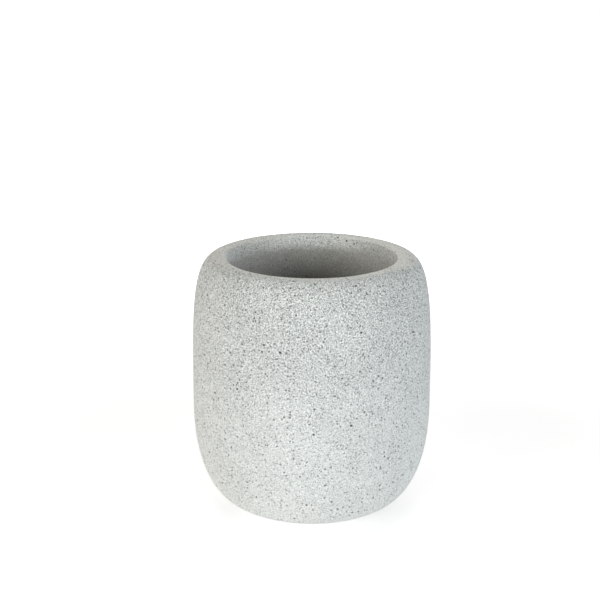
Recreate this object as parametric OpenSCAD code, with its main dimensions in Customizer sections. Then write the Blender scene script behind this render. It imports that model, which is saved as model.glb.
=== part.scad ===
// Bathroom tumbler: a thick-walled cup, cast in one piece with a stone finish, on soft round pads.
// Sizes are in millimetres. Z is the cup's axis, and z = 0 is the surface that the tumbler stands on.

/* [Outside of the cup] */
// Height of the tumbler, from the surface that it stands on to the top of the rim
overall_h = 94; // [84:0.5:110]
// Diameter at the widest level
body_d = 88; // [80:0.5:100]
// Height of the widest level above the surface
widest_h = 40.4; // [34:0.2:50]
// Diameter of the flat underside, where the lower curve starts
base_d = 48; // [44:0.5:58]
// Roundness of the lower curve: 2 is an ellipse, and more is squarer
lower_roundness = 2.35; // [2:0.05:3.2]
// Roundness of the upper curve, up to the rim
upper_roundness = 3.65; // [2.4:0.05:4.4]

/* [Rim and well] */
// Diameter of the rim's highest line
rim_d = 64.4; // [58:0.2:70]
// Radius that rolls the rim over into the well
lip_r = 1.2; // [0.8:0.1:3]
// Draft of the well's wall, in degrees
well_draft = 1; // [0:0.1:2]
// Thickness of the floor, between the well and the recess under it
floor_t = 8.6; // [5:0.2:14]
// Radius between the well's wall and its floor
floor_fillet_r = 6; // [2:0.5:12]

/* [Underside] */
// Width of the flat ring between the lower curve and the recess
base_land = 4; // [2:0.5:7]
// Depth of the recess that holds the pads
recess_depth = 1; // [0.6:0.1:2]
// Radius on the recess's edge
recess_edge_r = 0.5; // [0.2:0.1:0.8]

/* [Foot pads] */
// Number of pads
pad_count = 4; // [3:1:6]
// Diameter of a pad
pad_d = 9; // [6:0.5:11]
// Thickness of a pad, which lifts the cup clear of the surface
pad_t = 1.4; // [1.2:0.1:3]
// Radius on a pad's lower edge
pad_edge_r = 0.4; // [0.2:0.1:0.8]
// Gap between a pad and the recess's wall
pad_gap = 1.5; // [0.5:0.5:4]

/* [Hidden] */

stone = [0.80, 0.81, 0.80];
clear_rubber = [0.86, 0.87, 0.86];

// Segments of one quarter of the outline, of one small arc, and of a full turn
quarter_steps = 24;
arc_steps = 8;
$fn = 96;

// Levels, from the surface upwards
recess_z = pad_t;
base_z = recess_z - recess_depth;
floor_z = recess_z + floor_t;

// Radii of the underside
base_r = base_d / 2;
recess_r = base_r - base_land;
pad_r = pad_d / 2;
pad_circle_r = recess_r - pad_gap - pad_r;

// The lip is an arc about lip_centre, which ends where the well's drafted wall leaves it
rim_r = rim_d / 2;
lip_centre = [rim_r, overall_h - lip_r];
well_top = lip_centre + lip_r * [-cos(well_draft), sin(well_draft)];

// The wall runs down at its draft, and would meet the floor at well_floor_r without the fillet
well_floor_r = well_top.x - (well_top.y - floor_z) * tan(well_draft);
fillet_inset = floor_fillet_r * (1 - sin(well_draft)) / cos(well_draft);
fillet_centre = [well_floor_r - fillet_inset, floor_z + floor_fillet_r];

function pad_name(i) = str("foot_pad_", i);

// Points of an arc about a centre, from one angle to another
function arc(centre, r, from, to) =
    [for (i = [0:arc_steps])
        let (a = from + (to - from) * i / arc_steps)
        centre + r * [cos(a), sin(a)]];

// Quarter of a superellipse, from where it lies flat to where it stands upright
function quarter(flat, upright, roundness) =
    [for (i = [0:quarter_steps])
        let (a = 90 * i / quarter_steps)
        let (across = pow(sin(a), 2 / roundness))
        let (along = pow(cos(a), 2 / roundness))
        [flat.x + (upright.x - flat.x) * across, upright.y + (flat.y - upright.y) * along]];

function reversed(points) = [for (i = [len(points) - 1:-1:0]) points[i]];

// Outside, from the flat underside to the rim: two quarters that meet upright at the widest level
function outside() =
    let (widest = [body_d / 2, widest_h])
    concat(
        quarter([base_r, base_z], widest, lower_roundness),
        reversed(quarter([rim_r, overall_h], widest, upper_roundness)));

// Well, from the lip down its drafted wall and round the fillet to the middle of the floor
function well() =
    concat(
        arc(lip_centre, lip_r, 90, 180 - well_draft),
        arc(fillet_centre, floor_fillet_r, -well_draft, -90),
        [[0, floor_z]]);

// Underside, from the axis out over the recess to the edge of its mouth
function underside() =
    concat(
        [[0, recess_z], [recess_r, recess_z]],
        arc([recess_r + recess_edge_r, base_z + recess_edge_r], recess_edge_r, 180, 270));

// Cup: the whole section turned about the axis
module tumbler_body() {
    color(stone)
        rotate_extrude()
            polygon(concat(underside(), outside(), well()));
}

// Pad: a disc with a rolled lower edge, seated against the recess
module foot_pad(i) {
    turn = 360 * (i - 0.5) / pad_count;
    section = concat(
        [[0, 0]],
        arc([pad_r - pad_edge_r, pad_edge_r], pad_edge_r, -90, 0),
        [[pad_r, pad_t], [0, pad_t]]);
    color(clear_rubber)
        rotate(turn)
            translate([pad_circle_r, 0])
                rotate_extrude()
                    polygon(section);
}

tumbler_body();
for (i = [1:pad_count]) foot_pad(i);
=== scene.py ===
"""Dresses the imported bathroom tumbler: a cast cup with a speckled stone coat, on four clear pads.

Sizes are in metres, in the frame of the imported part: Z is the cup's axis, and z = 0 is what it stands on.
"""

import logging
import math
from dataclasses import dataclass
from enum import Enum
from typing import Iterable, Union

import bpy
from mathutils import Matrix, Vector


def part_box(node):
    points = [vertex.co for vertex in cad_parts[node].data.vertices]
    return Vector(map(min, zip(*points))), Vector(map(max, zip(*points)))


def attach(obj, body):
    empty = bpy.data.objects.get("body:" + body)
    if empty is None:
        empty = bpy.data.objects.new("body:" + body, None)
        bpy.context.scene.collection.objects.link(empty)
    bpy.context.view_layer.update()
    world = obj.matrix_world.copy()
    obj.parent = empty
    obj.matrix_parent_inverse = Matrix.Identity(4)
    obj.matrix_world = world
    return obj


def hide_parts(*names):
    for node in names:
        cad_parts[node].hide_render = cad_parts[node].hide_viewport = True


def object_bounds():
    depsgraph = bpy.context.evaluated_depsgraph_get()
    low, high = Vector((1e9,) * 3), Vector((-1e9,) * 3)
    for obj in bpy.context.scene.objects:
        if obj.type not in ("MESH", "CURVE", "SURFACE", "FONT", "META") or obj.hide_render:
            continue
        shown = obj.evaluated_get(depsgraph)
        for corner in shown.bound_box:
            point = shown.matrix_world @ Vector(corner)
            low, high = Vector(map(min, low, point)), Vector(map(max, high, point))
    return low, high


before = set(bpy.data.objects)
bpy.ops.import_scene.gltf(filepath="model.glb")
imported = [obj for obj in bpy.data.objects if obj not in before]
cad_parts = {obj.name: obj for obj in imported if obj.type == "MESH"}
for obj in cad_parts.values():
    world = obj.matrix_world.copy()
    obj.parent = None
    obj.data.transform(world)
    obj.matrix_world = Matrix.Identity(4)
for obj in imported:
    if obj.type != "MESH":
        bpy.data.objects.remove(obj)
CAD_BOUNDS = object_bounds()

MM = 0.001
DEGREE = math.pi / 180
BODY = "root"
MERGE_DISTANCE = 1e-6

Point = tuple[float, float]
Span = tuple[float, float]
Place = tuple[float, float, float]
Colour = tuple[float, float, float]
Socket = bpy.types.NodeSocket
Value = Union[float, Colour, Socket]

ORIGIN: Place = (0.0, 0.0, 0.0)
WHITE: Colour = (1.0, 1.0, 1.0)

log = logging.getLogger("tumbler")


class Slot(Enum):
    """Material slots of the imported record."""

    CASTING = "stone_casting"
    PAD = "clear_pad"


class Facing(Enum):
    """Which way a level face looks."""

    UP = 1
    DOWN = -1


class Blend(Enum):
    """How a value runs from one end of its range to the other."""

    LINEAR = "LINEAR"
    SMOOTH = "SMOOTHSTEP"


class Mixed(Enum):
    """What a Mix node mixes, with the numbers of the two inputs and of the output that it uses for that."""

    NUMBERS = ("FLOAT", 2, 3, 0)
    COLOURS = ("RGBA", 6, 7, 2)


class Modelling:
    """Short forms of the modelling operators, each of which acts on what is selected."""

    # A face counts as level when the cosine of its normal's lean is over this
    LEVEL_COSINE = 0.99

    @staticmethod
    def start() -> None:
        """Deselects everything, so that the next primitive is alone."""
        if bpy.context.mode != "OBJECT":
            bpy.ops.object.mode_set(mode="OBJECT")
        bpy.ops.object.select_all(action="DESELECT")

    @staticmethod
    def edit() -> None:
        """Enters edit mode with everything selected."""
        bpy.ops.object.mode_set(mode="EDIT")
        bpy.ops.mesh.select_all(action="SELECT")

    @classmethod
    def pick_level(cls, facing: Facing) -> None:
        """Selects, in edit mode, just the level faces that look one way.

        Args:
            facing: The way that they look.
        """
        bpy.ops.mesh.select_mode(type="FACE")
        bpy.ops.mesh.select_all(action="DESELECT")
        bpy.ops.object.mode_set(mode="OBJECT")
        for polygon in bpy.context.active_object.data.polygons:
            polygon.select = polygon.normal.z * facing.value > cls.LEVEL_COSINE
        bpy.ops.object.mode_set(mode="EDIT")

    @staticmethod
    def finish(name: str) -> bpy.types.Object:
        """Leaves edit mode, closes the mesh, turns its faces outwards and puts its place in the mesh.

        Args:
            name: The piece's name.

        Returns:
            The finished object, at the origin.
        """
        bpy.ops.mesh.select_all(action="SELECT")
        bpy.ops.mesh.remove_doubles(threshold=MERGE_DISTANCE)
        bpy.ops.mesh.normals_make_consistent(inside=False)
        bpy.ops.object.mode_set(mode="OBJECT")
        bpy.ops.object.transform_apply(location=True, rotation=True, scale=True)
        bpy.ops.object.shade_smooth()
        piece = bpy.context.active_object
        piece.name = name
        piece.data.name = name
        return piece


class Wiring:
    """Shader nodes of one node tree, added and linked by short calls."""

    def __init__(self, tree: bpy.types.NodeTree) -> None:
        """Starts over in a node tree.

        Args:
            tree: The node tree, which is emptied.
        """
        self.tree = tree
        self.tree.nodes.clear()

    def add(self, kind: str, **settings: object) -> bpy.types.Node:
        """Adds a node.

        Args:
            kind: The node's type name.
            **settings: Properties to set on it.

        Returns:
            The new node.
        """
        node = self.tree.nodes.new(kind)
        for key, value in settings.items():
            setattr(node, key, value)
        return node

    def feed(self, socket: Socket, value: Value) -> None:
        """Gives an input its value, by a link from another socket or as a constant.

        Args:
            socket: The input.
            value: A socket, a number or a colour.
        """
        if isinstance(value, Socket):
            self.tree.links.new(value, socket)
        elif isinstance(value, tuple) and len(socket.default_value) == 4:
            socket.default_value = (*value, 1.0)
        else:
            socket.default_value = value

    def math(self, operation: str, *values: Value) -> Socket:
        """Adds a Math node.

        Args:
            operation: The node's operation.
            *values: Its inputs, in order.

        Returns:
            The result.
        """
        node = self.add("ShaderNodeMath", operation=operation)
        for socket, value in zip(node.inputs, values):
            self.feed(socket, value)
        return node.outputs[0]

    def product(self, first: Value, *others: Value) -> Value:
        """Multiplies numbers.

        Args:
            first: The first number.
            *others: The other numbers.

        Returns:
            Their product.
        """
        result = first
        for other in others:
            result = self.math("MULTIPLY", result, other)
        return result

    def vary(self, noise: Socket, middle: float, reach: float) -> Socket:
        """Turns noise from 0 to 1 into values round a middle, which differ from it by the reach at most."""
        return self.math("MULTIPLY_ADD", noise, 2 * reach, middle - reach)

    def span(
            self, value: Value, low: float, high: float, origin: float = 0.0,
            blend: Blend = Blend.SMOOTH) -> Socket:
        """Maps a value to 0 at low and 1 at high, and holds it beyond.

        Args:
            value: The value to map.
            low: Where the result is 0.
            high: Where the result is 1. It may be under low.
            origin: What low and high are measured from.
            blend: How the result runs between them.

        Returns:
            The mapped value.
        """
        node = self.add("ShaderNodeMapRange", interpolation_type=blend.value)
        self.feed(node.inputs["Value"], value)
        node.inputs["From Min"].default_value = origin + low
        node.inputs["From Max"].default_value = origin + high
        return node.outputs["Result"]

    def mixed(self, what: Mixed, share: Value, first: Value, second: Value) -> Socket:
        """Adds a Mix node.

        Args:
            what: What it mixes.
            share: How much of the second there is, from 0 to 1.
            first: The first number or colour.
            second: The second number or colour.

        Returns:
            The result.
        """
        data_type, first_input, second_input, output = what.value
        node = self.add("ShaderNodeMix", data_type=data_type)
        for place, value in ((0, share), (first_input, first), (second_input, second)):
            self.feed(node.inputs[place], value)
        return node.outputs[output]

    def blend(self, share: Value, first: Value, second: Value) -> Socket:
        """Mixes two numbers, with the share of the second."""
        return self.mixed(Mixed.NUMBERS, share, first, second)

    def mix(self, share: Value, first: Value, second: Value) -> Socket:
        """Mixes two colours, with the share of the second."""
        return self.mixed(Mixed.COLOURS, share, first, second)

    def shade(self, colour: Value, factor: Value) -> Socket:
        """Multiplies a colour by a number.

        Args:
            colour: The colour.
            factor: The number.

        Returns:
            The shaded colour.
        """
        node = self.add("ShaderNodeVectorMath", operation="SCALE")
        self.feed(node.inputs[0], colour)
        self.feed(node.inputs["Scale"], factor)
        return node.outputs[0]

    def seen(self) -> Socket:
        """Tells what is seen, directly or in a shiny or clear surface, from what only lights the object.

        Returns:
            1 for what is seen, and 0 for the rest.
        """
        path = self.add("ShaderNodeLightPath")
        mirrored = self.math("MAXIMUM", path.outputs["Is Glossy Ray"], path.outputs["Is Transmission Ray"])
        return self.math("MAXIMUM", path.outputs["Is Camera Ray"], mirrored)


class MaterialWiring(Wiring):
    """Shader nodes of a new material, whose patterns lie on the object's own coordinates."""

    def __init__(self, name: str) -> None:
        """Makes the material, with no shader in it yet.

        Args:
            name: The material's name.
        """
        self.material = bpy.data.materials.new(name)
        self.material.use_nodes = True
        super().__init__(self.material.node_tree)
        self.place = self.add("ShaderNodeTexCoord").outputs["Object"]

    def distance(self, place: Place) -> Socket:
        """Gives the distance from a place.

        Args:
            place: The place.

        Returns:
            The distance.
        """
        node = self.add("ShaderNodeVectorMath", operation="DISTANCE")
        self.feed(node.inputs[0], self.place)
        self.feed(node.inputs[1], place)
        return node.outputs["Value"]

    def noise(self, size: float, detail: float = 2.0, rough: float = 0.5) -> Socket:
        """Adds noise.

        Args:
            size: Width of its largest features.
            detail: How many finer octaves it has.
            rough: Strength of the finer octaves.

        Returns:
            Values from 0 to 1, most of them near 0.5.
        """
        node = self.add("ShaderNodeTexNoise")
        self.feed(node.inputs["Vector"], self.place)
        node.inputs["Scale"].default_value = 1 / size
        node.inputs["Detail"].default_value = detail
        node.inputs["Roughness"].default_value = rough
        return node.outputs["Fac"]

    def cells(self, size: float) -> tuple[Socket, Socket]:
        """Adds scattered cells.

        Args:
            size: Width of a cell.

        Returns:
            The distance to the nearest cell's middle, in cell widths, and that cell's random colour.
        """
        node = self.add("ShaderNodeTexVoronoi")
        self.feed(node.inputs["Vector"], self.place)
        node.inputs["Scale"].default_value = 1 / size
        return node.outputs["Distance"], node.outputs["Color"]

    def surface(self, colour: Value, rough: Value, height: Value, depth: float, **constants: float) -> None:
        """Ends the material in a Principled shader over a bump.

        Args:
            colour: The base colour.
            rough: The roughness.
            height: The bump's height, from 0 to 1.
            depth: The depth of the bump's full height.
            **constants: Further inputs of the shader, by name with _ for a space.
        """
        bump = self.add("ShaderNodeBump")
        self.feed(bump.inputs["Height"], height)
        bump.inputs["Distance"].default_value = depth
        shader = self.add("ShaderNodeBsdfPrincipled")
        self.feed(shader.inputs["Base Color"], colour)
        self.feed(shader.inputs["Roughness"], rough)
        self.feed(shader.inputs["Normal"], bump.outputs["Normal"])
        for key, value in constants.items():
            shader.inputs[key.replace("_", " ")].default_value = value
        self.finish(shader.outputs[0])

    def finish(self, shader: Socket) -> None:
        """Ends the material in a shader."""
        self.feed(self.add("ShaderNodeOutputMaterial").inputs["Surface"], shader)


@dataclass(frozen=True)
class Specks:
    """One size of dark speck in the stone coat, in scattered cells that hold a speck each or none."""

    # Width of a cell, the largest specks' radius in cell widths, and the share of the cells with a speck
    cell: float
    reach: float
    share: float
    colour: Colour

    # The smallest specks' radius and the faintest specks' cover, as shares of the most
    smallest: float = 0.5
    faintest: float = 0.4

    # Soft edge of a speck, in its radii
    edge: Span = (1.1, 0.85)

    def lay(self, wiring: MaterialWiring, ground: Value, crowding: Value) -> tuple[Socket, Socket]:
        """Lays the specks over a ground.

        Args:
            wiring: The material.
            ground: The colour under the specks.
            crowding: How many more of the cells than the usual share hold a speck here.

        Returns:
            The ground with the specks on it, and where they are.
        """
        distance, random = wiring.cells(self.cell)
        split = wiring.add("ShaderNodeSeparateColor")
        wiring.feed(split.inputs[0], random)
        share = wiring.math("MULTIPLY_ADD", crowding, self.share, self.share)
        chosen = wiring.math("LESS_THAN", split.outputs[0], share)
        radius = wiring.blend(split.outputs[1], self.smallest * self.reach, self.reach)
        inside = wiring.span(wiring.math("DIVIDE", distance, radius), *self.edge)
        cover = wiring.product(inside, chosen, wiring.blend(split.outputs[2], self.faintest, 1.0))
        return wiring.mix(cover, ground, self.colour), cover


@dataclass(frozen=True)
class Site:
    """What the stone coat goes by at one point of the cup's surface."""

    # How far the point lies to the right, to the back and up, and its distance from the cup's axis
    right: Socket
    back: Socket
    height: Socket
    radius: Socket

    # From 0 at the rim's left end to 1 at its right one, and from 0 low down to 1 high up on the outside
    across: Socket
    rise: Socket

    # Soft clouds, from -1 to 1, and the grain, which is 0 in each dark grain and 1 between the grains
    cloud: Socket
    grain: Socket


@dataclass(frozen=True)
class StoneCoat:
    """Sprayed stone coat over a smooth casting, which is bare where the spray doesn't reach.

    A span is where something starts and where it is full. Levels are heights over the table, and a span that
    ends in _out is measured outwards from the rim's highest line, or from the recess's wall.
    """

    rim_z: float
    rim_r: float
    recess_r: float

    # Colours of the coat, of its thin band round the lip, and of the bare casting
    ground: Colour = (0.898, 0.896, 0.897)
    lip_tint: Colour = (0.862, 0.843, 0.81)
    casting: Colour = (0.494, 0.482, 0.464)

    # Roughness of the coat and of the casting, and the shader's specular level and diffuse roughness
    rough: Span = (0.9, 0.52)
    shine: float = 0.3
    chalk: float = 0.6

    # Depth of the grain's relief, what a speck adds to it, and the share of both that the casting shows
    relief: float = 0.03 * MM
    speck_relief: float = -0.5
    casting_relief: float = 0.25

    # Clouds, and how much they darken or lighten the coat
    cloud_size: float = 16 * MM
    cloud_detail: float = 3.0
    cloud_depth: float = 0.09

    # Grain: its size, the distances over which a grain fades, in sizes, and the bend of the tones between
    grain_size: float = 0.36 * MM
    grain_reach: Span = (0.2, 0.7)
    grain_bend: float = 0.6

    # Tones in the grains and between them, low down and high up, and where the coat counts as high up
    grain_dark: Span = (0.43, 0.12)
    grain_light: Span = (1.018, 1.02)
    rise_levels: Span = (28 * MM, 86 * MM)
    rise_out: Span = (-1.7 * MM, 3.3 * MM)

    # Band round the lip: its inner edge, and its outer edge on the left and on the right
    lip_inner_out: Span = (-1.25 * MM, -0.9 * MM)
    lip_left_out: Span = (4.3 * MM, 1.0 * MM)
    lip_right_out: Span = (3.4 * MM, 2.5 * MM)

    # Its lower end, from the rim's top, its widening at both sides, its end at the back, and its wander
    lip_lower: Span = (-5 * MM, -3 * MM)
    lip_sides: Span = (27 * MM, 36.5 * MM)
    lip_widening: float = 2.7 * MM
    lip_back: Span = (32.5 * MM, 28.5 * MM)
    lip_wander: float = 1 * MM
    lip_wander_size: float = 7 * MM

    # Tones in the band's grains, on the left and on the right
    lip_dark: Span = (0.32, 0.66)

    # Painted shade on the coat of the well's wall, which darkens it on the right
    painted_shade_tone: float = 0.84
    painted_shade_right: Span = (12 * MM, 25 * MM)
    painted_shade_out: Span = (-0.9 * MM, -1.2 * MM)

    # End of the spray in the well: its depth, half the height of its fade, and how far it wanders
    spray_reach: float = 4.3 * MM
    spray_fade: float = 2.3 * MM
    spray_wander: float = 0.9 * MM
    spray_wander_size: float = 9 * MM

    # Shift of that end in the grains and between them
    spray_grain: Span = (-1.0 * MM, 0.6 * MM)

    # Height that parts the underside from the well, and the end of the spray at the recess's wall
    underside_z: float = 6 * MM
    recess_out: Span = (2 * MM, -1 * MM)

    # Mottle of the casting
    mottle_size: float = 3 * MM
    mottle_detail: float = 4.0
    mottle_rough: float = 0.6
    mottle_depth: float = 0.15

    # Tones of the casting in the grains and between them, and painted light on it: its tones in the middle
    # and at both sides of the well, where the sides start and are full, and the levels over which that comes
    # in
    casting_grain: Span = (0.5, 1.13)
    painted_light_tones: Span = (0.96, 1.24)
    painted_light_sides: Span = (4 * MM, 26 * MM)
    painted_light_levels: Span = (45 * MM, 70 * MM)

    # How many more specks there are in a cloud, high up, where the coat is thin or missing, and at the foot
    crowding_cloud: float = 0.5
    crowding_rise: float = 1.3
    crowding_thin: float = -0.9
    crowding_foot: float = -0.6
    foot_levels: Span = (10 * MM, 0.0)
    specks: tuple[Specks, ...] = (
        Specks(cell=0.6 * MM, reach=0.32, share=0.9, colour=(0.012, 0.012, 0.012)),
        Specks(cell=1.1 * MM, reach=0.31, share=0.38, colour=(0.005, 0.005, 0.006)),
        Specks(cell=2.2 * MM, reach=0.21, share=0.38, colour=(0.005, 0.005, 0.006)),
    )

    def build(self) -> bpy.types.Material:
        """Makes the material.

        Returns:
            The coat and the casting under it, as one material.
        """
        wiring = MaterialWiring("stone coat")
        site = self.site(wiring)
        lip = self.lip(wiring, site)
        bare = self.bare(wiring, site)
        coat = wiring.shade(wiring.mix(lip, self.ground, self.lip_tint), self.tone(wiring, site, lip))
        colour = wiring.mix(bare, coat, wiring.shade(self.casting, self.mottle(wiring, site)))
        crowding = self.crowding(wiring, site, thin=wiring.math("MAXIMUM", bare, lip))
        relief: Value = site.grain
        for layer in self.specks:
            colour, cover = layer.lay(wiring, colour, crowding)
            relief = wiring.math("MULTIPLY_ADD", cover, self.speck_relief, relief)
        relief = wiring.product(relief, wiring.blend(bare, 1.0, self.casting_relief))
        rough = wiring.blend(bare, *self.rough)
        wiring.surface(
            colour, rough, relief, self.relief, Specular_IOR_Level=self.shine, Diffuse_Roughness=self.chalk)
        return wiring.material

    def site(self, wiring: MaterialWiring) -> Site:
        """Works out where a point of the surface lies, and the clouds and the grain there.

        Args:
            wiring: The material.

        Returns:
            What the rest of the coat goes by.
        """
        split = wiring.add("ShaderNodeSeparateXYZ")
        wiring.feed(split.inputs[0], wiring.place)
        right, back, height = (split.outputs[axis] for axis in "XYZ")
        radius = wiring.math("SQRT", wiring.math("MULTIPLY_ADD", back, back, wiring.product(right, right)))
        high = wiring.span(height, *self.rise_levels)
        outside = wiring.span(radius, *self.rise_out, self.rim_r)
        grain = wiring.span(wiring.cells(self.grain_size)[0], *self.grain_reach, blend=Blend.LINEAR)
        return Site(
            right=right,
            back=back,
            height=height,
            radius=radius,
            across=wiring.span(right, -self.rim_r, self.rim_r),
            rise=wiring.product(high, outside),
            cloud=wiring.vary(wiring.noise(self.cloud_size, self.cloud_detail), 0.0, 1.0),
            grain=wiring.math("POWER", grain, self.grain_bend),
        )

    def lip(self, wiring: MaterialWiring, site: Site) -> Socket:
        """Finds the band round the lip, where the coat is thinner and warmer.

        Args:
            wiring: The material.
            site: The point of the surface.

        Returns:
            1 on the band and 0 off it.
        """
        wander = wiring.vary(wiring.noise(self.lip_wander_size), 0.0, self.lip_wander)
        sides = wiring.span(wiring.math("ABSOLUTE", site.right), *self.lip_sides)
        further = wiring.math("MULTIPLY_ADD", sides, self.lip_widening, wander)
        edge = wiring.math("SUBTRACT", site.radius, further)
        left = wiring.span(edge, *self.lip_left_out, self.rim_r)
        right = wiring.span(edge, *self.lip_right_out, self.rim_r)
        return wiring.product(
            wiring.blend(site.across, left, right),
            wiring.span(site.back, *self.lip_back),
            wiring.span(site.radius, *self.lip_inner_out, self.rim_r),
            wiring.span(site.height, *self.lip_lower, self.rim_z),
        )

    def bare(self, wiring: MaterialWiring, site: Site) -> Socket:
        """Finds where the casting is bare, which is deep in the well and in the recess underneath.

        Args:
            wiring: The material.
            site: The point of the surface.

        Returns:
            1 on the bare casting and 0 on the coat.
        """
        wander = wiring.vary(wiring.noise(self.spray_wander_size), 0.0, self.spray_wander)
        wander = wiring.math("ADD", wander, wiring.blend(site.grain, *self.spray_grain))
        level = wiring.math("ADD", site.height, wander)
        deep = wiring.span(level, self.spray_fade, -self.spray_fade, self.rim_z - self.spray_reach)
        inner = wiring.math("LESS_THAN", site.radius, self.rim_r)
        under = wiring.math("LESS_THAN", site.height, self.underside_z)
        well = wiring.product(wiring.math("SUBTRACT", inner, under), deep)
        recess = wiring.product(under, wiring.span(site.radius, *self.recess_out, self.recess_r))
        return wiring.math("MAXIMUM", well, recess)

    def tone(self, wiring: MaterialWiring, site: Site, lip: Socket) -> Socket:
        """Gives the tone of the coat: its grain, its clouds and the painted shade on the right of the well's
        wall.

        Args:
            wiring: The material.
            site: The point of the surface.
            lip: The band round the lip.

        Returns:
            What the coat's colour is multiplied by.
        """
        coat_dark = wiring.blend(site.rise, *self.grain_dark)
        lip_dark = wiring.blend(site.across, *self.lip_dark)
        dark = wiring.blend(lip, coat_dark, lip_dark)
        light = wiring.blend(site.rise, *self.grain_light)
        # Painted shade: the coat on the right of the well's wall is darkened
        inside = wiring.span(site.radius, *self.painted_shade_out, self.rim_r)
        wall = wiring.product(inside, wiring.span(site.right, *self.painted_shade_right))
        return wiring.product(
            wiring.blend(site.grain, dark, light),
            wiring.math("MULTIPLY_ADD", site.cloud, -self.cloud_depth, 1.0),
            wiring.blend(wall, 1.0, self.painted_shade_tone),
        )

    def mottle(self, wiring: MaterialWiring, site: Site) -> Socket:
        """Gives the tone of the bare casting: its mottle, its grain and the painted light at both sides of
        the well, high up.

        Args:
            wiring: The material.
            site: The point of the surface.

        Returns:
            What the casting's colour is multiplied by.
        """
        noise = wiring.noise(self.mottle_size, self.mottle_detail, self.mottle_rough)
        # Painted light: the casting is lighter at both sides of the well, high up in it
        painted_light_beside = wiring.span(wiring.math("ABSOLUTE", site.right), *self.painted_light_sides)
        sides = wiring.product(painted_light_beside, wiring.span(site.height, *self.painted_light_levels))
        return wiring.product(
            wiring.vary(noise, 1.0, self.mottle_depth),
            wiring.blend(site.grain, *self.casting_grain),
            wiring.blend(sides, *self.painted_light_tones),
        )

    def crowding(self, wiring: MaterialWiring, site: Site, thin: Socket) -> Value:
        """Gives how crowded the specks are.

        Args:
            wiring: The material.
            site: The point of the surface.
            thin: Where the coat is thin or missing.

        Returns:
            How many more specks there are than usual, as a share of the usual ones.
        """
        foot = wiring.span(site.height, *self.foot_levels)
        crowding = wiring.product(site.rise, self.crowding_rise)
        effects = (
            (site.cloud, self.crowding_cloud),
            (thin, self.crowding_thin),
            (foot, self.crowding_foot),
        )
        for where, more in effects:
            crowding = wiring.math("MULTIPLY_ADD", where, more, crowding)
        return crowding


@dataclass(frozen=True)
class ClearRubber:
    """Soft clear rubber of the pads, a little milky, with a satin skin."""

    tint: Colour = (0.86, 0.88, 0.87)
    rough: float = 0.32
    clearness: float = 0.55
    refraction: float = 1.49

    # Haze in the rubber, how far tint and roughness vary with it, and the relief that it gives the skin
    haze_size: float = 1.6 * MM
    haze_detail: float = 3.0
    haze_tint: float = 0.06
    haze_rough: float = 0.1
    haze_relief: float = 0.02 * MM

    def build(self) -> bpy.types.Material:
        """Makes the material.

        Returns:
            The clear rubber.
        """
        wiring = MaterialWiring("clear rubber")
        haze = wiring.noise(self.haze_size, self.haze_detail)
        colour = wiring.shade(self.tint, wiring.vary(haze, 1.0, self.haze_tint))
        rough = wiring.vary(haze, self.rough, self.haze_rough)
        wiring.surface(
            colour, rough, haze, self.haze_relief, Transmission_Weight=self.clearness, IOR=self.refraction)
        return wiring.material


def arc(centre: Point, radius: float, start: float, end: float, steps: int) -> list[Point]:
    """Gives points along an arc.

    Args:
        centre: The arc's centre.
        radius: Its radius.
        start: The angle of its first point, in degrees.
        end: The angle of its last point, in degrees.
        steps: How many segments it has.

    Returns:
        The points, both ends included.
    """
    angles = [DEGREE * (start + (end - start) * i / steps) for i in range(steps + 1)]
    return [(centre[0] + radius * math.cos(a), centre[1] + radius * math.sin(a)) for a in angles]


def evenly(points: list[Point], pitch: float) -> list[Point]:
    """Spaces points evenly along a line.

    Args:
        points: The line, as closely spaced points.
        pitch: The distance between the new points, at most.

    Returns:
        Points on the line, both of its ends included.
    """
    lengths = [0.0]
    for a, b in zip(points, points[1:]):
        lengths.append(lengths[-1] + math.dist(a, b))
    steps = max(1, math.ceil(lengths[-1] / pitch))
    spaced, k = [points[0]], 0
    for i in range(1, steps):
        goal = lengths[-1] * i / steps
        while lengths[k + 1] < goal:
            k += 1
        t = (goal - lengths[k]) / (lengths[k + 1] - lengths[k])
        spaced.append(tuple(a + (b - a) * t for a, b in zip(points[k], points[k + 1])))
    return spaced + [points[-1]]


def superellipse(flat: Point, upright: Point, roundness: float, pitch: float) -> list[Point]:
    """Gives a quarter of a superellipse.

    Args:
        flat: Its end where it lies flat.
        upright: Its end where it stands upright.
        roundness: Its exponent: 2 is an ellipse, and more is squarer.
        pitch: The distance between its points, at most.

    Returns:
        The points, from flat to upright.
    """
    fine_steps = 720
    points = []
    for i in range(fine_steps + 1):
        a = 90 * DEGREE * i / fine_steps
        across = math.sin(a) ** (2 / roundness)
        along = max(0.0, math.cos(a)) ** (2 / roundness)
        r = flat[0] + (upright[0] - flat[0]) * across
        z = upright[1] + (flat[1] - upright[1]) * along
        points.append((r, z))
    return evenly(points, pitch)


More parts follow.
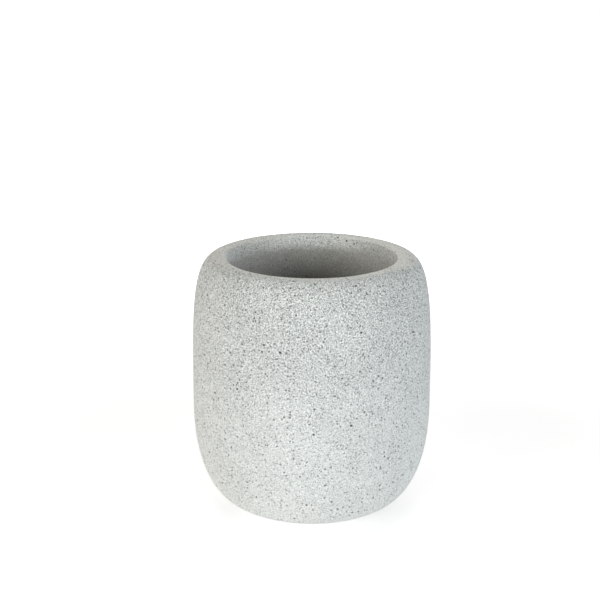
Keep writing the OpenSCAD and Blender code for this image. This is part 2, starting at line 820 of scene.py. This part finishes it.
@dataclass
class Cup:
    """The cast cup: a thick wall with a rolled rim, a drafted well and a recess under its base."""

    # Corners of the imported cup's box, and the level of the recess's ceiling
    low: Vector
    high: Vector
    recess_z: float

    # Outside and lip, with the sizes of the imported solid
    widest_z: float = 40.4 * MM
    base_r: float = 24 * MM
    lower_roundness: float = 2.35
    upper_roundness: float = 3.65
    rim_r: float = 32.2 * MM
    lip_r: float = 1.2 * MM
    lip_steps: int = 8

    # Well, with the draft of its wall in degrees
    draft: float = 1.0
    floor_t: float = 8.6 * MM
    fillet_r: float = 6 * MM
    fillet_steps: int = 12

    # Recess, and the edge round its mouth
    recess_r: float = 20 * MM
    edge_r: float = 0.5 * MM
    edge_steps: int = 6

    # Distance between points of the section, at most, on level stretches and elsewhere, and steps of a turn
    level_pitch: float = 2.2 * MM
    pitch: float = 1.1 * MM
    turn_steps: int = 256

    # Unevenness of the casting: its depth, and the width of its waves
    waviness: float = 0.12 * MM
    wave_size: float = 13 * MM

    def underside(self) -> list[Point]:
        """Gives the section from the axis out over the recess to the flat ring.

        Returns:
            Its points, in that order.
        """
        ceiling = evenly([(0.0, self.recess_z), (self.recess_r, self.recess_z)], self.level_pitch)
        corner = (self.recess_r + self.edge_r, self.low.z + self.edge_r)
        return ceiling + arc(corner, self.edge_r, 180, 270, self.edge_steps)

    def outside(self) -> list[Point]:
        """Gives the section from the flat ring over the widest level to the top of the rim.

        Returns:
            Its points, in that order.
        """
        widest = (self.high.x, self.widest_z)
        lower = superellipse((self.base_r, self.low.z), widest, self.lower_roundness, self.pitch)
        upper = superellipse((self.rim_r, self.high.z), widest, self.upper_roundness, self.pitch)
        return lower + upper[::-1][1:]

    def well(self) -> list[Point]:
        """Gives the section from the top of the rim over the lip and down the well to its middle.

        Returns:
            Its points, in that order.
        """
        lip = arc((self.rim_r, self.high.z - self.lip_r), self.lip_r, 90, 180 - self.draft, self.lip_steps)
        floor_z = self.recess_z + self.floor_t
        slope = self.draft * DEGREE
        corner_r = lip[-1][0] - (lip[-1][1] - floor_z) * math.tan(slope)
        inset = self.fillet_r * (1 - math.sin(slope)) / math.cos(slope)
        centre = (corner_r - inset, floor_z + self.fillet_r)
        fillet = arc(centre, self.fillet_r, -self.draft, -90, self.fillet_steps)
        wall = evenly([lip[-1], fillet[0]], self.pitch)
        floor = evenly([fillet[-1], (0.0, floor_z)], self.level_pitch)
        return lip + wall[1:-1] + fillet + floor[1:]

    def build(self) -> bpy.types.Object:
        """Turns the section about the axis, and gives the casting its slight unevenness.

        Returns:
            The cup.
        """
        section = self.underside() + self.outside() + self.well()[1:]
        Modelling.start()
        bpy.ops.mesh.primitive_plane_add(size=self.pitch, location=(section[0][0], 0.0, section[0][1]))
        Modelling.edit()
        bpy.ops.mesh.merge(type="CENTER")
        for (r0, z0), (r1, z1) in zip(section, section[1:]):
            step = (r1 - r0, 0.0, z1 - z0)
            bpy.ops.mesh.extrude_region_move(TRANSFORM_OT_translate={"value": step})
        bpy.ops.mesh.select_all(action="SELECT")
        bpy.ops.mesh.spin(steps=self.turn_steps, angle=2 * math.pi, center=ORIGIN, axis=(0.0, 0.0, 1.0))
        cup = Modelling.finish("stone_cup")
        self.unevenness(cup)
        return cup

    def unevenness(self, cup: bpy.types.Object) -> None:
        """Makes the casting a little uneven, as a hand-finished mould leaves it, apart from its underside.

        The modifier's middle level of 1 lets the surface sink and never rise, so the cup stays in its solid.

        Args:
            cup: The turned cup.
        """
        free = cup.vertex_groups.new(name="uneven")
        above = [vertex.index for vertex in cup.data.vertices if vertex.co.z > self.recess_z + self.edge_r]
        free.add(above, 1.0, "REPLACE")
        waves = bpy.data.textures.new("casting waves", "CLOUDS")
        waves.noise_scale = self.wave_size
        modifier = cup.modifiers.new("unevenness", "DISPLACE")
        modifier.texture = waves
        modifier.vertex_group = free.name
        modifier.strength = self.waviness
        modifier.mid_level = 1.0
        bpy.ops.object.modifier_apply(modifier=modifier.name)

    def dress(self, cup: bpy.types.Object) -> None:
        """Gives the cup its coat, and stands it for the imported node.

        Args:
            cup: The finished cup.
        """
        cup.data.materials.append(StoneCoat(self.high.z, self.rim_r, self.recess_r).build())
        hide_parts("tumbler_body")
        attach(cup, BODY)


@dataclass
class FootPads:
    """The clear pads in the recess, modelled once and copied to each place."""

    nodes: list[str]
    sides: int = 64

    # Radius and segments of a pad's rolled lower edge, and of its softened upper one
    lower_edge_r: float = 0.4 * MM
    lower_edge_steps: int = 6
    upper_edge_r: float = 0.12 * MM
    upper_edge_steps: int = 2

    # How far inside an edge the flat face next to it starts, in radii of the edge
    flat_inset: float = 2.5

    def build(self) -> list[bpy.types.Object]:
        """Models the first pad and copies it to the others' places.

        Returns:
            The pads, in the order of their nodes.
        """
        boxes = [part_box(node) for node in self.nodes]
        first = self.model(*boxes[0])
        pads = [first]
        for number, (low, high) in enumerate(boxes[1:], start=2):
            pad = first.copy()
            pad.data = first.data.copy()
            pad.name = pad.data.name = f"clear_pad_{number}"
            bpy.context.collection.objects.link(pad)
            move = (low + high - boxes[0][0] - boxes[0][1]) / 2
            for vertex in pad.data.vertices:
                vertex.co += move
            pads.append(pad)
        return pads

    def model(self, low: Vector, high: Vector) -> bpy.types.Object:
        """Models one pad: a disc with a rolled lower edge and a hair's breadth off its upper one.

        Args:
            low: Lowest corner of its place.
            high: Highest corner of its place.

        Returns:
            The pad.
        """
        centre = (low + high) / 2
        pad_r, thickness = (high.x - low.x) / 2, high.z - low.z
        Modelling.start()
        bpy.ops.mesh.primitive_cylinder_add(
            vertices=self.sides, radius=pad_r, depth=thickness, location=centre, end_fill_type="NGON")
        Modelling.edit()
        lower = (Facing.DOWN, self.lower_edge_r, self.lower_edge_steps)
        upper = (Facing.UP, self.upper_edge_r, self.upper_edge_steps)
        for facing, edge_r, steps in (lower, upper):
            Modelling.pick_level(facing)
            bpy.ops.mesh.inset(thickness=self.flat_inset * edge_r)
            Modelling.pick_level(facing)
            bpy.ops.mesh.region_to_loop()
            bpy.ops.mesh.bevel(offset=edge_r, segments=steps, affect="EDGES")
        return Modelling.finish("clear_pad_1")

    def dress(self, pads: Iterable[bpy.types.Object]) -> None:
        """Gives the pads their rubber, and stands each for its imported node.

        Args:
            pads: The pads, in the order of their nodes.
        """
        rubber = ClearRubber().build()
        for pad, node in zip(pads, self.nodes):
            pad.data.materials.append(rubber)
            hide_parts(node)
            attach(pad, BODY)


@dataclass(frozen=True)
class Lamp:
    """A soft rectangular lamp, which shines at the object."""

    name: str

    # Bearing from the front, to the right, and height, both in degrees, and power in watts
    bearing: float
    height: float
    power: float
    colour: Colour = WHITE
    distance: float = 1.0
    size: tuple[float, float] = (0.6, 0.3)

    def hang(self, target: Vector) -> None:
        """Adds the lamp to the scene.

        Args:
            target: What it shines at.
        """
        data = bpy.data.lights.new(self.name, "AREA")
        data.shape = "RECTANGLE"
        data.size, data.size_y = self.size
        data.energy = self.power
        data.color = self.colour
        lamp = bpy.data.objects.new(self.name, data)
        bpy.context.collection.objects.link(lamp)
        turn, rise = self.bearing * DEGREE, self.height * DEGREE
        away = Vector((math.sin(turn) * math.cos(rise), -math.cos(turn) * math.cos(rise), math.sin(rise)))
        lamp.location = target + away * self.distance
        lamp.rotation_euler = away.to_track_quat("Z", "Y").to_euler()
        lamp.visible_camera = False


@dataclass(frozen=True)
class Glow:
    """Round patch of the table, under the object or in front of it, which lights the object from below."""

    # Place of its middle along Y, its radius, and its light
    y: float
    radius: float
    colour: Colour

    # Half the width of its soft edge, as a share of its radius
    fade: float = 0.3

    def shine(self, wiring: MaterialWiring) -> Socket:
        """Gives the patch's light at each place of the table, softly faded at its edge.

        Args:
            wiring: The table's material.

        Returns:
            The light's colour, scaled by its strength.
        """
        away = wiring.distance((0.0, self.y, 0.0))
        outer, inner = (1 + self.fade) * self.radius, (1 - self.fade) * self.radius
        return wiring.shade(self.colour, wiring.span(away, outer, inner))


@dataclass(frozen=True)
class WhiteTable:
    """White table, which is seen plain but for the object's shadow, and lights the object from below."""

    # Colour under the lamps, where the table only lights the object and where it is seen
    lighting: Colour = (0.86, 0.86, 0.86)
    seen: Colour = (0.81, 0.81, 0.81)

    # Its own white where it is seen, near the object, and the distances over which that grows to full white
    near_white: float = 0.57
    white_span: Span = (0.12, 0.3)

    # Its own light where it only lights the object
    glows: tuple[Glow, Glow] = (
        Glow(0.0, 0.4, (0.188, 0.192, 0.195)),
        Glow(-0.25, 0.16, (0.164, 0.179, 0.296)),
    )

    def build(self) -> bpy.types.Material:
        """Makes the material.

        Returns:
            The white table.
        """
        wiring = MaterialWiring("floor")
        seen = wiring.seen()
        lit = wiring.add("ShaderNodeBsdfDiffuse")
        wiring.feed(lit.inputs["Color"], wiring.mix(seen, self.lighting, self.seen))
        patches = wiring.add("ShaderNodeVectorMath", operation="ADD")
        for socket, patch in zip(patches.inputs, self.glows):
            wiring.feed(socket, patch.shine(wiring))
        far = wiring.span(wiring.distance(ORIGIN), *self.white_span)
        white = wiring.shade(WHITE, wiring.blend(far, self.near_white, 1.0))
        glow = wiring.add("ShaderNodeEmission")
        wiring.feed(glow.inputs["Color"], wiring.mix(seen, patches.outputs[0], white))
        both = wiring.add("ShaderNodeAddShader")
        wiring.feed(both.inputs[0], lit.outputs[0])
        wiring.feed(both.inputs[1], glow.outputs[0])
        wiring.finish(both.outputs[0])
        wiring.material.cycles.emission_sampling = "NONE"
        return wiring.material


@dataclass
class Studio:
    """Glowing white table, soft lamps a little above its level, and the camera of the photograph."""

    floor_r: float = 4.0
    floor_sides: int = 96

    # Strength of the sky where it only lights the object
    ambient: float = 0.008

    # Each lamp's name, bearing, height, power and colour
    lamps: tuple[Lamp, ...] = (
        Lamp("left softbox", -50, 15, 3.54, (0.963, 1, 0.962)),
        Lamp("near left softbox", -25, 10, 1.49, (1, 0.916, 0.701)),
        Lamp("near right softbox", 25, 10, 2.3, (0.885, 1, 1)),
        Lamp("right softbox", 50, 15, 2.2, (0.911, 0.976, 1)),
        Lamp("back softbox", 180, 15, 4.8, (1, 0.975, 0.93)),
        Lamp("top softbox", 0, 90, 2.5, (0.977, 1, 0.973), size=(0.6, 0.6)),
    )

    # Camera: distance and elevation from the object's middle, lens in mm, and the place that it looks at
    camera_distance: float = 572 * MM
    camera_elevation: float = 18.97
    camera_lens: float = 92.15
    aim: Place = (-4.34 * MM, 0.0, 76.97 * MM)

    def build(self, centre: Vector) -> None:
        """Builds the whole studio round the object.

        Args:
            centre: Middle of the object.
        """
        self.floor()
        self.world()
        for lamp in self.lamps:
            lamp.hang(centre)
        self.camera(centre)
        bpy.context.scene.view_settings.view_transform = "Standard"

    def floor(self) -> None:
        """Adds the top of the table, which keeps the object's shadow."""
        Modelling.start()
        bpy.ops.mesh.primitive_circle_add(vertices=self.floor_sides, radius=self.floor_r, fill_type="NGON")
        floor = bpy.context.active_object
        floor.name = "floor"
        floor.data.materials.append(WhiteTable().build())

    def world(self) -> None:
        """Sets a nearly dark sky, which is seen as a white backdrop."""
        world = bpy.data.worlds.new("studio")
        bpy.context.scene.world = world
        world.use_nodes = True
        wiring = Wiring(world.node_tree)
        background = wiring.add("ShaderNodeBackground")
        wiring.feed(background.inputs["Color"], WHITE)
        wiring.feed(background.inputs["Strength"], wiring.blend(wiring.seen(), self.ambient, 1.0))
        wiring.feed(wiring.add("ShaderNodeOutputWorld").inputs["Surface"], background.outputs[0])

    def camera(self, centre: Vector) -> None:
        """Adds the camera at the photograph's viewing angle.

        Args:
            centre: Middle of the object, which the camera's distance and elevation are measured from.
        """
        data = bpy.data.cameras.new("camera")
        data.lens = self.camera_lens
        camera = bpy.data.objects.new("camera", data)
        bpy.context.collection.objects.link(camera)
        rise = self.camera_elevation * DEGREE
        back = Vector((0.0, -math.cos(rise), math.sin(rise)))
        camera.location = Vector((0.0, 0.0, centre.z)) + back * self.camera_distance
        camera.rotation_euler = (Vector(self.aim) - camera.location).to_track_quat("-Z", "Y").to_euler()
        bpy.context.scene.camera = camera


def report(piece: bpy.types.Object) -> None:
    """Logs what a piece holds."""
    log.info("%s: %d vertices, %d faces", piece.name, len(piece.data.vertices), len(piece.data.polygons))


def main() -> None:
    """Builds the cup, the pads and the studio."""
    logging.basicConfig(level=logging.INFO, format="%(message)s")
    low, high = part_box("tumbler_body")
    pad_nodes = sorted(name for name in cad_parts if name.startswith("foot_pad"))
    cup = Cup(low, high, recess_z=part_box(pad_nodes[0])[1].z)
    body = cup.build()
    cup.dress(body)
    report(body)
    feet = FootPads(pad_nodes)
    pads = feet.build()
    feet.dress(pads)
    for pad in pads:
        report(pad)
    Studio().build((CAD_BOUNDS[0] + CAD_BOUNDS[1]) / 2)


if __name__ == "__main__":
    main()
